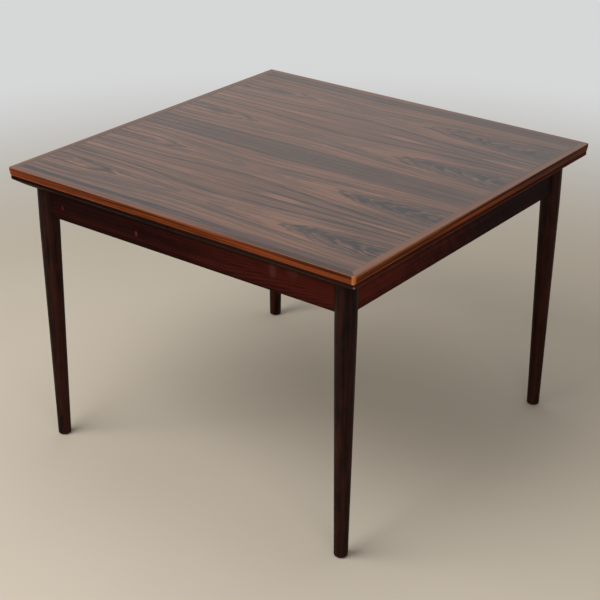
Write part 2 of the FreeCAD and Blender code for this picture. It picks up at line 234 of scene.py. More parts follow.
LEAF_WIDTH = 0.249
SEAM_OFFSET = -0.009
PAGE_SHIFT = 0.06
HEART_LINE = 0.134
WAIST = -0.024
WAIST_DEPTH = 0.079
HEART_RING = 0.0715
SIDE_RING = 0.098
ARC_SPACING = 0.0034
RIGHT_RISE = 0.0065
RIGHT_END_RISE = 0.023
LEFT_RISE = 0.013
PAGE_RISE = 0.0008
# Dark stripes beside the seams: distance from the seam, where they start and stop fading, and how dark
SEAM_STRIPES = ((0.036, 0.003, 0.013, 0.14), (0.014, 0.001, 0.007, 0.12))
EYE_PLACE = 0.151
EYE_TURN = 21.4
EYE_LINE = 0.013
FRONT_BAND = -0.474
VENEER_TONE = 0.655

VENEER_DARK = srgb(30, 24, 23)
VENEER_MIDDLE = srgb(79, 54, 43)
VENEER_LIGHT = srgb(122, 82, 61)
BACKING_DARK = srgb(88, 58, 40)
BACKING_LIGHT = srgb(122, 84, 58)


def seam_stripes(leaf, seam):
    """How dark the veined stripes beside a seam are."""
    vein = leaf.noise((1.3, 150.0, 1.0), 3.0, 0.6, 2.3) - 0.5
    dark = seam.step(0.056, 0.034) * (0.15 - vein)
    for distance, inner, outer, shows in SEAM_STRIPES:
        dark = dark + seam.near(distance, inner, outer) * shows
    return dark


def seam_eyes(run, off_seam):
    """How light the slim eyes on the other seams are, with a dark line round them."""
    wave = ((run - EYE_PLACE) * EYE_TURN).wave()
    half_width = 0.003 + abs(wave) * (0.007 - run.step(0.2, 0.4) * 0.003)
    lens = (off_seam / half_width).step(1.15, 0.6)
    fill = lens * wave.most(wave * 0.5) * (0.12 + run.step(-0.05, 0.12) * 0.24)
    line = off_seam.near(EYE_LINE + run.near(-0.05, 0.0, 0.28) * 0.010, 0.0006, 0.0032)
    return fill - line * 0.26


def veneer_tone(place, along_shift):
    """Lightness of the matched veneer, from 0 in the dark streaks to 1 in the light wood."""
    x, y, _ = place.axes()
    across = y - SEAM_OFFSET
    s = across.math("PINGPONG", across, LEAF_WIDTH)
    page = across.math("FLOOR", across / LEAF_WIDTH)
    run = x + along_shift - WAIST
    right = run.step(0.0, 0.25)
    leaf = place.node("ShaderNodeCombineXYZ", inputs={"X": run, "Y": s, "Z": page * PAGE_SHIFT})
    sway = leaf.noise((2.4, 8.0, 1.0), 1.0) - 0.5
    wobble = leaf.noise((9.0, 12.0, 1.0), 1.0) - 0.5
    ripple = (leaf.noise((13.0, 52.0, 1.0), 2.0, 0.6) - 0.5) * (0.004 + right * 0.005)

    rise = run.step(-0.03, 0.20) * RIGHT_RISE + run.step(0.12, 0.55) * RIGHT_END_RISE
    rise = rise + run.step(0.0, -0.36) * LEFT_RISE + page * PAGE_RISE
    rise = rise + right * (page * PAGE_RISE + page.most(0.0) * 0.002 + 0.0011)
    depth = WAIST_DEPTH - rise + sway * 0.006 + ripple
    u = s - HEART_LINE + sway * 0.024 + wobble * 0.008
    ring = (u * u + depth * depth).root()
    straight = (u * u + WAIST_DEPTH ** 2).root()
    bend = (ring - straight) * u / (u * u + 0.0009).root()
    flow = place.node("ShaderNodeCombineXYZ", inputs={"X": run, "Y": s + bend * 0.8, "Z": page * PAGE_SHIFT})

    broad = ring.bands(150.0, 3.0) - 0.5
    fine = ring.bands(380.0, 2.0, 3.7) - 0.5
    jitter = leaf.noise((26.0, 70.0, 1.0), 2.0, 0.6, 4.4) - 0.5
    arc = ((ring + jitter * 0.004) * (2 * pi / ARC_SPACING)).wave()
    streak = flow.noise((1.7, 130.0, 1.0), 4.0, 0.7) - 0.5
    line = flow.noise((0.8, 95.0, 1.0), 2.0, 0.5, 5.1).step(0.58, 0.66)
    patch = leaf.noise((6.0, 16.0, 1.0), 3.0) - 0.5

    heart = ring.step(HEART_RING + 0.001, HEART_RING - 0.004)
    core = ring.step(HEART_RING - 0.016, HEART_RING - 0.030)
    rim = ring.near(HEART_RING + 0.002, 0.0004, 0.0028)
    left_tip = ring.step(HEART_RING + 0.0045, HEART_RING) * run.step(-0.10, -0.26)
    flame = heart * (arc * (0.05 + right * 0.13) + fine * (0.2 + right * 0.7))
    flame = flame + left_tip * (arc * 0.13 + fine * 0.4)
    side_streak = ring.near(SIDE_RING, 0.003, 0.011) * u.step(0.01, 0.03)
    frayed = leaf.noise((9.0, 110.0, 1.0), 3.0, 0.6, 8.2)
    front_band = (y + sway * 0.012 + (frayed - 0.5) * 0.012).near(FRONT_BAND, 0.003, 0.026)
    front_band = front_band * run.step(0.40, 0.10) * frayed.step(0.25, 0.60)
    # painted shade: the veneer darkens towards the front left of the top
    painted_front_left_shade = y.step(0.0, -0.4) * run.step(0.2, -0.3)

    tone = VENEER_TONE + broad * 0.65 + fine * 0.5 + flame + streak * 1.5 + patch * 0.35 - line * 0.28
    tone = tone - heart * (0.03 + right * 0.29) + core * 0.08 + rim * 0.14 - side_streak * 0.18
    tone = tone - seam_stripes(leaf, s + sway * 0.02) + seam_eyes(run, LEAF_WIDTH - s + sway * 0.006)
    return tone - front_band * 0.20 - painted_front_left_shade * 0.09


def veneer(place, along_shift):
    """Matched rosewood veneer with an oiled satin surface above and plain backing veneer below."""
    tone = veneer_tone(place, along_shift) + (fibre(place, ALONG_X) - 0.5) * 0.34
    figure = tone.tones((0.12, VENEER_DARK), (0.50, VENEER_MIDDLE), (0.90, VENEER_LIGHT))
    pore = pores(place, ALONG_X)
    face = (pore * 0.5).blend(figure, VENEER_DARK)
    backing = fibre(place, ALONG_X).blend(BACKING_DARK, BACKING_LIGHT)
    under = facing(place)[2].step(-0.3, -0.8)
    smear = place.noise((3.0, 5.0, 3.0), 3.0)
    return {
        "Base Color": under.blend(face, backing),
        "Roughness": 0.28 + smear * 0.10 + under * 0.25 + pore * 0.1,
        "Normal": (tone * 0.15 - pore).bump(PORE_DEPTH, 0.5),
    }


# Solid rosewood

LIPPING_DARK = srgb(50, 33, 26)
LIPPING_LIGHT = srgb(112, 74, 56)
EDGE_DARK = srgb(40, 16, 9)
EDGE_LIGHT = srgb(138, 67, 34)
# lighter orange of the edge's lower slope, partly the wood and partly a painted glow
PAINTED_SLOPE_GLOW = srgb(146, 67, 22)
# Tones of each lipping at the two ends of its run, left to right or front to back, and where they change;
# along the right lipping they hold painted shade, darker towards the back, and painted highlights stronger
# at the front
TOP_EDGES = {
    "front": {"span": (0.0, 0.28), "face": (0.30, -0.22), "band": (0.0, -0.13), "slope": (-0.03, 0.10),
              "worn": (0.6, 0.45), "rubbed": (0.1, 0.14), "slant": 0.004, "glow": 0.1, "line": 0.06},
    "back": {"span": (0.0, 0.28), "face": (0.30, 0.12), "band": (-0.05, -0.10), "slope": (0.0, 0.08),
             "worn": (0.5, 0.7), "rubbed": (0.1, 0.2), "slant": -0.004, "glow": 0.1, "line": 0.06},
    "left": {"span": (-0.5, 0.4), "face": (0.0, 0.05), "band": (-0.10, -0.24), "slope": (-0.10, -0.20),
             "worn": (0.9, 0.5), "rubbed": (0.5, 0.1), "slant": 0.0125, "glow": 0.2, "line": 0.2},
    "right": {"span": (-0.5, 0.3), "face": (0.14, -0.02), "band": (-0.05, -0.14), "slope": (-0.07, -0.25),
              "worn": (1.6, 0.6), "rubbed": (0.9, 0.1), "slant": -0.0125, "glow": 0.5, "line": 0.34},
}
# Colours of painted highlights on the top's arris, the leaf's corners and the leaf's lower arris, and of the
# top's corners, which are partly abraded wood and partly painted highlight
PAINTED_ARRIS_HIGHLIGHT = srgb(160, 98, 62)
CORNER_WEAR_AND_HIGHLIGHT = srgb(198, 120, 68)
PAINTED_LEAF_CORNER_HIGHLIGHT = srgb(150, 142, 136)
PAINTED_LEAF_ARRIS_HIGHLIGHT = srgb(132, 84, 66)
top_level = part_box("top_panel")[1].z
corner_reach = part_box("top_lipping_right")[1].x * 2
EDGE_BAND_LEVEL = top_level - 0.008
LEAF_ARRIS_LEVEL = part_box("right_leaf_end_lipping")[1].z - 0.0075
ARRIS_FACING = 0.7
SLOPE_PULL = 0.42

# Edges of the leaves: dark and light tone, and how strong the painted highlight along their lower arris is
LEAF_SIDE = srgb(16, 9, 7), srgb(38, 21, 16), 0.2
LEAF_END = srgb(32, 12, 7), srgb(92, 40, 19), 0.7

# Aprons: where painted light lightens them along their run, from which tone and by how much, and what figure
# shows
APRON_SIDE = {"dark": srgb(28, 8, 6), "light": srgb(70, 24, 17), "span": (-0.2, 0.5), "base": -0.2,
              "gain": 0.45, "lean": 0.6, "mottle": 0.4, "arches": 0.17}
APRON_END = {"dark": srgb(25, 8, 8), "light": srgb(88, 31, 21), "span": (0.32, -0.45), "base": -0.38,
             "gain": 0.6, "lean": 1.5, "mottle": 0.6, "arches": 0.0}
ARCH_SPACING = 0.0044
ARCH_DROP = 0.020
ARCH_DEPTH = 0.092
ARCH_TAPER = 0.09
apron_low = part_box("apron_front")[0].z
# Pale spots on the front apron: two small ones, and two broader patches of painted sheen
APRON_SPOTS_AND_SHEEN = (
    {"at": (-0.378, 0.640), "reach": (0.004, 0.006), "shows": 0.32, "colour": srgb(130, 46, 26)},
    {"at": (-0.142, 0.637), "reach": (0.004, 0.007), "shows": 0.36, "colour": srgb(136, 76, 66)},
    {"at": (0.253, 0.660), "reach": (0.011, 0.022), "shows": 0.22, "colour": srgb(120, 78, 70)},
    {"at": (0.307, 0.666), "reach": (0.016, 0.016), "shows": 0.12, "colour": srgb(120, 78, 70)},
)

LEG_DARK = srgb(18, 12, 10)
LEG_LIGHT = srgb(56, 28, 22)


def solid(place, along, dark, light, gloss, shine, streak=36.0, figure=1.0, lift=0.0):
    """Straight-grained rosewood: streaks per metre across its grain, and how much they show."""
    broad = place.noise(grained(streak, 0.9, along), 2.0, 0.55, along * 3.1)
    fine = place.noise(grained(streak * 4, 2.5, along), 3.0, 0.6)
    figured = ((broad - 0.5) * 1.5 + (fine - 0.5) * 0.8) * figure
    tone = figured + (fibre(place, along) - 0.5) * 0.4 + 0.5 + lift
    pore = pores(place, along)
    colour = tone.step(0.1, 0.9).blend(dark, light)
    smear = place.noise((6.0, 6.0, 6.0), 2.0)
    return {
        "Base Color": (pore * 0.45).blend(colour, dark),
        "Roughness": gloss + smear * 0.12 + pore * 0.1,
        "Specular IOR Level": shine,
        "Normal": (tone * 0.15 - pore).bump(PORE_DEPTH, 0.4),
    }


def leaf_lipping(place, along, dark, light, lower_arris_highlight):
    """Edge strip of a leaf, with a painted highlight on its corners and along its lower arris."""
    made = solid(place, along, dark, light, 0.40, 0.015)
    z = place.axes()[2]
    rub = place.noise((22.0, 22.0, 22.0), 3.0).step(0.3, 0.7)
    # painted highlight: a light line along the lower arris, uneven with the noise
    worn = z.near(LEAF_ARRIS_LEVEL, 0.0008, 0.0020) * (0.35 + rub * 0.5) * lower_arris_highlight
    sideways, forwards, _ = facing(place)
    # painted highlight on the rounded corners, kept below the gap under the top
    corner = (abs(sideways) * abs(forwards)).step(0.30, 0.48)
    corner_highlight = corner * z.step(LEAF_ARRIS_LEVEL + 0.0045, LEAF_ARRIS_LEVEL + 0.002)
    colour = worn.blend(made["Base Color"], PAINTED_LEAF_ARRIS_HIGHLIGHT)
    made["Base Color"] = (corner_highlight * 0.5).blend(colour, PAINTED_LEAF_CORNER_HIGHLIGHT)
    return made


def lipping(place, along, looks):
    """Edge strip of the top: polished above, streaked on its side, with a painted highlight on its arris and
    upper band, a painted glow on its lower slope, and lighter corners that are partly abraded wood and partly
    painted highlight.
    """
    x, y, z = place.axes()
    run, across = ((x, y), (y, x))[along]
    passed = (run + (place.noise((5.0, 5.0, 5.0), 2.0) - 0.5) * 0.3).step(*looks["span"])

    def tone_of(part):
        start, end = looks[part]
        return start + passed * (end - start)

    made = solid(place, along, LIPPING_DARK, LIPPING_LIGHT, 0.30, 0.02, 110.0, 1.2, tone_of("face"))
    slope = z.step(EDGE_BAND_LEVEL + 0.0004, EDGE_BAND_LEVEL - 0.0004)
    lean = z + run * looks["slant"]
    strip = place.node("ShaderNodeCombineXYZ", inputs={"X": run, "Y": lean, "Z": across})
    streak = strip.noise((3.5, 230.0, 1.0), 3.0, 0.6) - 0.5
    thread = strip.noise((9.0, 900.0, 1.0), 2.0) - 0.5
    dark_line = (lean + streak * 0.004).near(EDGE_BAND_LEVEL + 0.002, 0.001, 0.004)
    tone = 0.5 + streak * 1.7 + thread * 0.5 + tone_of("band") * (1 - slope) + tone_of("slope") * slope
    tone = tone - dark_line * looks["line"]
    # painted glow: the lower slope is blended towards a lighter orange, more in the middle of the run and
    # where the noise is high
    glow = run.near(0.0, 0.03, 0.28) * looks["glow"]
    rub = place.noise((14.0, 14.0, 14.0), 3.0).step(0.3, 0.7)
    side = tone.step(0.1, 0.9).blend(EDGE_DARK, EDGE_LIGHT)
    side = (slope * (0.10 + rub * 0.15 + glow)).blend(side, PAINTED_SLOPE_GLOW)
    # painted highlight: the upper band lightens towards the top arris
    side = (z.step(EDGE_BAND_LEVEL + 0.001, top_level) * tone_of("rubbed")).blend(side, PAINTED_ARRIS_HIGHLIGHT)
    upward = facing(place)[2]
    polished = upward.step(0.4, 0.9)
    # painted highlight along the arris, uneven with the noise and along the run
    arris = upward.near(ARRIS_FACING, 0.12, 0.34) * (0.35 + rub * 0.5) * tone_of("worn")
    colour = arris.blend(polished.blend(side, made["Base Color"]), PAINTED_ARRIS_HIGHLIGHT)
    # lighter abraded wood on every vertical corner, with a painted highlight that is strongest on the front
    # right corner
    reach = abs(x) + abs(y) + (EDGE_BAND_LEVEL - z).most(0.0) * SLOPE_PULL
    corner = reach.step(corner_reach - 0.0085, corner_reach - 0.0045) * (1 - polished * 0.7)
    made["Base Color"] = (corner * (0.25 + near_corner(x, y) * 0.55)).blend(colour, CORNER_WEAR_AND_HIGHLIGHT)
    made["Coat Weight"] = polished * 0.65
    made["Coat Roughness"] = 0.3
    return made


def apron(place, along, looks):
    """Mottled rosewood with painted light that lightens it along its length and painted shade towards its
    bottom, with arches, pale spots and patches of painted sheen at the front.
    """
    x, y, z = place.axes()
    run = (x, y)[along]
    up = z - apron_low
    share = run.step(*looks["span"])
    leaning = place.node("ShaderNodeCombineXYZ", inputs={"X": up + run * looks["lean"], "Y": up, "Z": run})
    mottle = leaning.noise((32.0, 16.0, 9.0), 3.0, 0.65) - 0.5
    sway = place.noise((9.0, 9.0, 26.0)) - 0.5
    rise = up + ARCH_DROP
    depth = ARCH_DEPTH - run * ARCH_TAPER + sway * 0.010
    ring = (rise * rise + depth * depth).root()
    arch = (ring * (2 * pi / ARCH_SPACING)).wave() * run.step(0.06, 0.20)
    # painted light along the run through the share, and painted shade darker towards the bottom through the
    # height term
    lift = looks["base"] + share * looks["gain"] + (up - 0.045) * 3 + mottle * looks["mottle"]
    lift = lift + arch * looks["arches"]
    made = solid(place, along, looks["dark"], looks["light"], 0.42, 0.02, 60.0, 0.8, lift)
    # painted shade: the lowest 22 mm of the apron darken
    painted_low_shade = z.step(apron_low + 0.022, apron_low)
    colour = (painted_low_shade * 0.4).blend(made["Base Color"], looks["dark"])
    grit = place.noise((260.0, 260.0, 260.0)) * 0.6
    # pale spots, the two broader ones being painted sheen
    for scuff in APRON_SPOTS_AND_SHEEN:
        aside = (x - scuff["at"][0]) / scuff["reach"][0]
        above = (z - scuff["at"][1]) / scuff["reach"][1]
        off = (aside * aside + above * above).root() + grit
        colour = (off.step(1.7, 0.5) * y.step(0.0, -0.1) * scuff["shows"]).blend(colour, scuff["colour"])
    made["Base Color"] = colour
    return made


def leg(place, dark, light):
    """Turned rosewood with blackish patches along its grain."""
    x, y, z = place.axes()
    patch = place.noise((60.0, 60.0, 13.0), 3.0, 0.65, 1.7) - 0.5
    # painted shade: the upper part of the front right leg darkens under the top
    lift = patch * 1.1 - z.step(0.25, 0.45) * near_corner(x, y) * 0.16
    return solid(place, ALONG_Z, dark, light, 0.36, 0.04, 60.0, 0.8, lift)


# Inner woods, metals and felt

BEECH_DARK = srgb(150, 108, 68)
BEECH_LIGHT = srgb(190, 150, 104)
BEECH_FLECK = srgb(118, 78, 46)
BEARER_STAIN = srgb(58, 23, 15)
FELT = srgb(24, 52, 34), srgb(52, 92, 62)
NYLON = srgb(44, 38, 32), srgb(70, 62, 54)
BRASS = srgb(186, 152, 88), srgb(120, 92, 52), 0.32
STEEL = srgb(176, 172, 162), srgb(112, 106, 98), 0.30
stain_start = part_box("apron_right")[0].x + 0.004


def beech(place, along):
    """Planed beech with its short flecks, stained dark where it shows in the end aprons."""
    tone = place.noise(grained(60.0, 2.0, along), 3.0, 0.6) * 0.7 + fibre(place, along) * 0.3
    fleck = place.noise(grained(900.0, 240.0, along), 1.0).step(0.64, 0.74)
    colour = tone.step(0.25, 0.75).blend(BEECH_DARK, BEECH_LIGHT)
    stain = (abs(place.axes()[0]) + tone * 0.004).step(stain_start, stain_start + 0.003)
    return {
        "Base Color": stain.blend((fleck * 0.55).blend(colour, BEECH_FLECK), BEARER_STAIN),
        "Roughness": 0.55 + tone * 0.15,
        "Specular IOR Level": 0.12,
        "Normal": (tone * 0.5 - fleck).bump(0.00015, 0.4),
    }


def metal(place, clean, tarnished, gloss):
    """Dull metal with patches of tarnish and fine rubbing marks."""
    patch = place.noise((160.0, 160.0, 160.0), 3.0).step(0.35, 0.7)
    rub = place.noise((300.0, 2600.0, 2600.0), 1.0)
    return {
        "Base Color": patch.blend(clean, tarnished),
        "Metallic": 1.0,
        "Roughness": gloss + patch * 0.2 + rub * 0.1,
        "Normal": rub.bump(0.00004, 0.4),
    }


def felt(place, dark, light):
    """Matted wool."""
    wool = place.noise((1500.0, 1500.0, 1500.0), 3.0, 0.7)
    return {
        "Base Color": wool.step(0.3, 0.7).blend(dark, light),
        "Roughness": 0.95,
        "Sheen Weight": 0.3,
        "Normal": wool.bump(0.0003, 0.8),
    }


def nylon(place, dark, light):
    """Scuffed hard plastic of the glides."""
    scuff = place.noise((400.0, 400.0, 400.0), 3.0)
    return {
        "Base Color": scuff.step(0.3, 0.75).blend(dark, light),
        "Roughness": 0.45 + scuff * 0.25,
        "Normal": scuff.bump(0.0001, 0.4),
    }


# Finish of each CAD node

def middle_of(node):
    """Where the middle of a node lies along the draw."""
    low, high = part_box(node)
    return (low.x + high.x) / 2


finishes = {
    "top_panel": finish("rosewood_veneer", veneer, 0.0),
    "right_leaf_panel": finish("right_leaf_veneer", veneer, -middle_of("right_leaf_panel")),
    "left_leaf_panel": finish("left_leaf_veneer", veneer, -middle_of("left_leaf_panel")),
    "beech_along": finish("beech_along", beech, ALONG_X),
    "beech_across": finish("beech_across", beech, ALONG_Y),
    "felt_pads": finish("green_felt", felt, *FELT),
    "foot_glides": finish("glide_nylon", nylon, *NYLON),
    "guide_plate": finish("guide_brass", metal, *BRASS),
    "screws": finish("screw_steel", metal, *STEEL),
    "leg": finish("rosewood_leg", leg, LEG_DARK, LEG_LIGHT),
}
for axis, sides, leaf_sides, leaf_looks, apron_looks in (
        (ALONG_X, ("front", "back"), ("front", "back"), LEAF_SIDE, APRON_SIDE),
        (ALONG_Y, ("left", "right"), ("end",), LEAF_END, APRON_END)):
    letter = "XY"[axis]
    leaf_edge = finish("leaf_lipping_along_" + letter, leaf_lipping, axis, *leaf_looks)
    apron_face = finish("rosewood_apron_along_" + letter, apron, axis, apron_looks)
    for side in sides:
        finishes["top_lipping_" + side] = finish("top_lipping_" + side, lipping, axis, TOP_EDGES[side])
        finishes["apron_" + side] = apron_face
    for side in leaf_sides:
        finishes["leaf_lipping_" + side] = leaf_edge


def finish_for(node):
    """Finish of a CAD node, by its name."""
    if node in finishes:
        return finishes[node]
    if node.endswith("screws"):
        return finishes["screws"]
    if node.startswith("leg_"):
        return finishes["leg"]
    if node.startswith("guide_plate_"):
        return finishes["guide_plate"]
    if node.endswith("_lipping"):
        return finishes["leaf_lipping_" + node.split("_")[2]]
    return finishes["beech_across" if node == "centre_rail" else "beech_along"]


for name, piece in nodes.items():
    piece.material_slots[0].material = finish_for(name)


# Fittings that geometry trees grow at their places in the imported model

WELD = 1e-6
SCREW_SIZES = {"Head Radius": 0.0040, "Head Height": 0.0024, "Shank Radius": 0.0019, "Slot Width": 0.0010,
               "Slot Depth": 0.0009, "Pitch": 0.0016}
# Thread as shares of the screw's length and of its shank's radius
THREAD_START = 0.4
THREAD_RUN = 0.54
THREAD_CUT = 0.24
THREAD_RADIUS = 0.80
THREAD_RIDGE = 0.19
TIP_TAPER = 0.45
TIP_RADIUS = 0.0002
SCREW_STEPS = 56
SCREW_SIDES = 32
CRISP_ANGLE = 0.6
FELT_SIDES = 48
FELT_SEED, SCREW_SEED = 5, 11


def solids_of(node):
    """Corners of each separate solid in a CAD node."""
    mesh = bmesh.new()
    mesh.from_mesh(nodes[node].data)
    bmesh.ops.remove_doubles(mesh, verts=mesh.verts, dist=WELD)
    waiting = set(mesh.verts)
    solids = []
    for first in mesh.verts:
        if first not in waiting:
            continue
        waiting.remove(first)
        group = [first]
        for corner in group:
            near = [link.other_vert(corner) for link in corner.link_edges]
            fresh = [other for other in near if other in waiting]
            waiting.difference_update(fresh)
            group.extend(fresh)
        solids.append([corner.co.copy() for corner in group])
    mesh.free()
    return solids


def box_of(corners):
    """Lowest and highest corner of a set of points."""
    return (Vector(min(corner[axis] for corner in corners) for axis in range(3)),
            Vector(max(corner[axis] for corner in corners) for axis in range(3)))


def off_axis(corner, middle, along):
    """Squared distance of a corner from the axis through the middle."""
    return sum((corner[axis] - middle[axis]) ** 2 for axis in range(3) if axis != along)


def screw_places(node):
    """Head centre and direction of each screw in a CAD node, and the length of one."""
    places = []
    for corners in solids_of(node):
        low, high = box_of(corners)
        size = high - low
        along = max(range(3), key=lambda axis: size[axis])
        middle = (low + high) / 2
        widest = max(corners, key=lambda corner: off_axis(corner, middle, along))
        head_low = widest[along] < middle[along]
        middle[along] = (low if head_low else high)[along]
        direction = Vector((0, 0, 0))
        direction[along] = 1 if head_low else -1
        places.append((middle, direction))
    return places, size[along]


def start_tree(name, sizes):
    """New geometry tree with named inputs for its sizes, its seed and its finish."""
    tree = bpy.data.node_groups.new(name, "GeometryNodeTree")
    tree.interface.new_socket("Places", in_out="INPUT", socket_type="NodeSocketGeometry")
    tree.interface.new_socket("Shape", in_out="OUTPUT", socket_type="NodeSocketGeometry")
    for size in sizes:
        tree.interface.new_socket(size, in_out="INPUT", socket_type="NodeSocketFloat")
    tree.interface.new_socket("Seed", in_out="INPUT", socket_type="NodeSocketInt")
    tree.interface.new_socket("Finish", in_out="INPUT", socket_type="NodeSocketMaterial")
    entry = Flow(tree).node("NodeGroupInput")
    return entry, [entry.other(size) for size in sizes]


def end_tree(entry, shape):
    """Sets the shape at every place, turned at random about its axis, as plain mesh in one finish."""
    axis = entry.node("GeometryNodeInputNamedAttribute", {"data_type": "FLOAT_VECTOR"}, {"Name": "direction"})
    upright = entry.node("FunctionNodeAlignRotationToVector", {"axis": "Z"}, {"Vector": axis})
    angle = entry.node("FunctionNodeRandomValue", {"data_type": "FLOAT"},
                       {2: 0.0, 3: pi, "Seed": entry.other("Seed")}, output=1)
    turn = entry.node("FunctionNodeAxisAngleToRotation", inputs={"Axis": (0, 0, 1), "Angle": angle})
    turned = entry.node("FunctionNodeRotateRotation", {"rotation_space": "LOCAL"},
                        {"Rotation": upright, "Rotate By": turn})
    placed = entry.node("GeometryNodeInstanceOnPoints", inputs={
        "Points": entry.other("Places"), "Instance": shape, "Rotation": turned})
    plain = entry.node("GeometryNodeRealizeInstances", inputs={"Geometry": placed})
    dressed = entry.node("GeometryNodeSetMaterial", inputs={
        "Geometry": plain, "Material": entry.other("Finish")})
    entry.node("NodeGroupOutput", inputs={"Shape": dressed})
    return entry.tree


def screw_tree():
    """Countersunk wood screw with a slot, a plain shank and a thread that runs to its tip."""
    sizes = ("Length",) + tuple(SCREW_SIZES)
    entry, (length, head, head_height, shank, slot_width, slot_depth, pitch) = start_tree("wood_screw", sizes)
    z = entry.node("GeometryNodeInputPosition").axes()[2]
    thread_start = length * THREAD_START
    thread_run = length * THREAD_RUN
    thread_radius = shank * THREAD_RADIUS
    cone = head - z * (head - shank) / head_height
    bar = shank - z.math("GREATER_THAN", z, thread_start) * shank * THREAD_CUT
    radius = cone.most(bar).least((length - z) * TIP_TAPER + TIP_RADIUS)
    line = entry.node("GeometryNodeCurvePrimitiveLine", inputs={
        "End": entry.node("ShaderNodeCombineXYZ", inputs={"Z": length})})
    line = entry.node("GeometryNodeResampleCurve", inputs={"Curve": line, "Count": SCREW_STEPS})
    circle = entry.node("GeometryNodeCurvePrimitiveCircle", inputs={"Resolution": SCREW_SIDES, "Radius": 1.0})
    turned = entry.node("GeometryNodeCurveToMesh", inputs={
        "Curve": line, "Profile Curve": circle, "Scale": radius, "Fill Caps": True})
    slot_size = entry.node("ShaderNodeCombineXYZ", inputs={
        "X": head * 3, "Y": slot_width, "Z": slot_depth * 2})
    slot = entry.node("GeometryNodeMeshCube", inputs={"Size": slot_size})
    slotted = entry.node("GeometryNodeMeshBoolean", {"operation": "DIFFERENCE"},
                         {"Mesh 1": turned, "Mesh 2": slot})
    spiral = entry.node("GeometryNodeCurveSpiral", inputs={
        "Resolution": 14, "Rotations": thread_run / pitch, "Start Radius": thread_radius,
        "End Radius": thread_radius, "Height": thread_run})
    ridge = entry.node("GeometryNodeCurvePrimitiveCircle", inputs={
        "Resolution": 4, "Radius": shank * THREAD_RIDGE})
    thread = entry.node("GeometryNodeCurveToMesh", inputs={
        "Curve": spiral, "Profile Curve": ridge, "Fill Caps": True})
    thread = entry.node("GeometryNodeTransform", inputs={
        "Geometry": thread, "Translation": entry.node("ShaderNodeCombineXYZ", inputs={"Z": thread_start})})
    screw = entry.node("GeometryNodeJoinGeometry", inputs={"Geometry": [slotted, thread]})
    bend = entry.node("GeometryNodeInputMeshEdgeAngle")
    crisp = bend.math("GREATER_THAN", bend, CRISP_ANGLE)
    screw = entry.node("GeometryNodeSetShadeSmooth", {"domain": "EDGE"}, {
        "Geometry": screw, "Selection": crisp, "Shade Smooth": False})
    return end_tree(entry, screw)


def felt_tree():
    """Cut felt disc whose rim rounds off below and whose cut is not quite round."""
    entry, (radius, thick) = start_tree("felt_disc", ("Radius", "Thickness"))
    disc = entry.node("GeometryNodeMeshCylinder", {"fill_type": "TRIANGLE_FAN"}, {
        "Vertices": FELT_SIDES, "Side Segments": 4, "Fill Segments": 6, "Radius": radius, "Depth": thick})
    place = entry.node("GeometryNodeInputPosition")
    x, y, z = place.axes()
    reach = (x * x + y * y).root() / radius
    cut = 1 - entry.node("ShaderNodeTexNoise", inputs={"Vector": place, "Scale": 260.0}) * 0.05
    wool = entry.node("ShaderNodeTexNoise", inputs={"Vector": place, "Scale": 900.0})
    below = z.step(0.0, thick * -0.5)
    lift = below * thick * (reach.step(0.7, 1.0) * 0.35 + wool * 0.15)
    shaped = entry.node("ShaderNodeCombineXYZ", inputs={"X": x * cut, "Y": y * cut, "Z": z + lift})
    disc = entry.node("GeometryNodeSetPosition", inputs={"Geometry": disc, "Position": shaped})
    disc = entry.node("GeometryNodeSetShadeSmooth", inputs={"Geometry": disc, "Shade Smooth": True})
    return end_tree(entry, disc)


def grow(name, tree, places, values, replaced):
    """Piece that a tree grows at its places; it rides with the CAD node that it replaces."""
    mesh = bpy.data.meshes.new(name)
    places = sorted(places, key=lambda place: [round(value, 4) for value in place[0]])
    mesh.from_pydata([start for start, _ in places], [], [])
    direction = mesh.attributes.new("direction", "FLOAT_VECTOR", "POINT")
    direction.data.foreach_set("vector", [value for _, way in places for value in way])
    piece = bpy.data.objects.new(name, mesh)
    scene.collection.objects.link(piece)
    shape = piece.modifiers.new("shape", "NODES")
    shape.node_group = tree
    for socket in tree.interface.items_tree:
        if socket.name in values:
            shape[socket.identifier] = values[socket.name]
    ready = piece.evaluated_get(bpy.context.evaluated_depsgraph_get())
    piece.data = bpy.data.meshes.new_from_object(ready)
    piece.modifiers.clear()
    piece.data.name = name
    bpy.data.meshes.remove(mesh)
    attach(piece, body_of[replaced])
    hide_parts(replaced)


body_of = {node: body for body, members in frame["record"]["behaviour"]["bodies"].items() for node in members}
screws = screw_tree()
for node in sorted(node for node in nodes if node.endswith("screws")):
    places, length = screw_places(node)
    values = {**SCREW_SIZES, "Length": length, "Seed": SCREW_SEED, "Finish": finishes["screws"]}
    grow("slotted_" + node, screws, places, values, node)

pads = [box_of(corners) for corners in solids_of("felt_pads")]
pad_places = [((low + high) / 2, Vector((0, 0, 1))) for low, high in pads]
pad_size = pads[0][1] - pads[0][0]
pad_values = {"Radius": pad_size.x / 2, "Thickness": pad_size.z, "Seed": FELT_SEED,
              "Finish": finishes["felt_pads"]}
grow("felt_discs", felt_tree(), pad_places, pad_values, "felt_pads")


# Studio

LENS = 89.07
AZIMUTH = radians(37.15)
ELEVATION = radians(25.76)
TILT = radians(0.40)
DISTANCE = 3.614
TARGET = Vector((0.0649, -0.1043, 0.400))

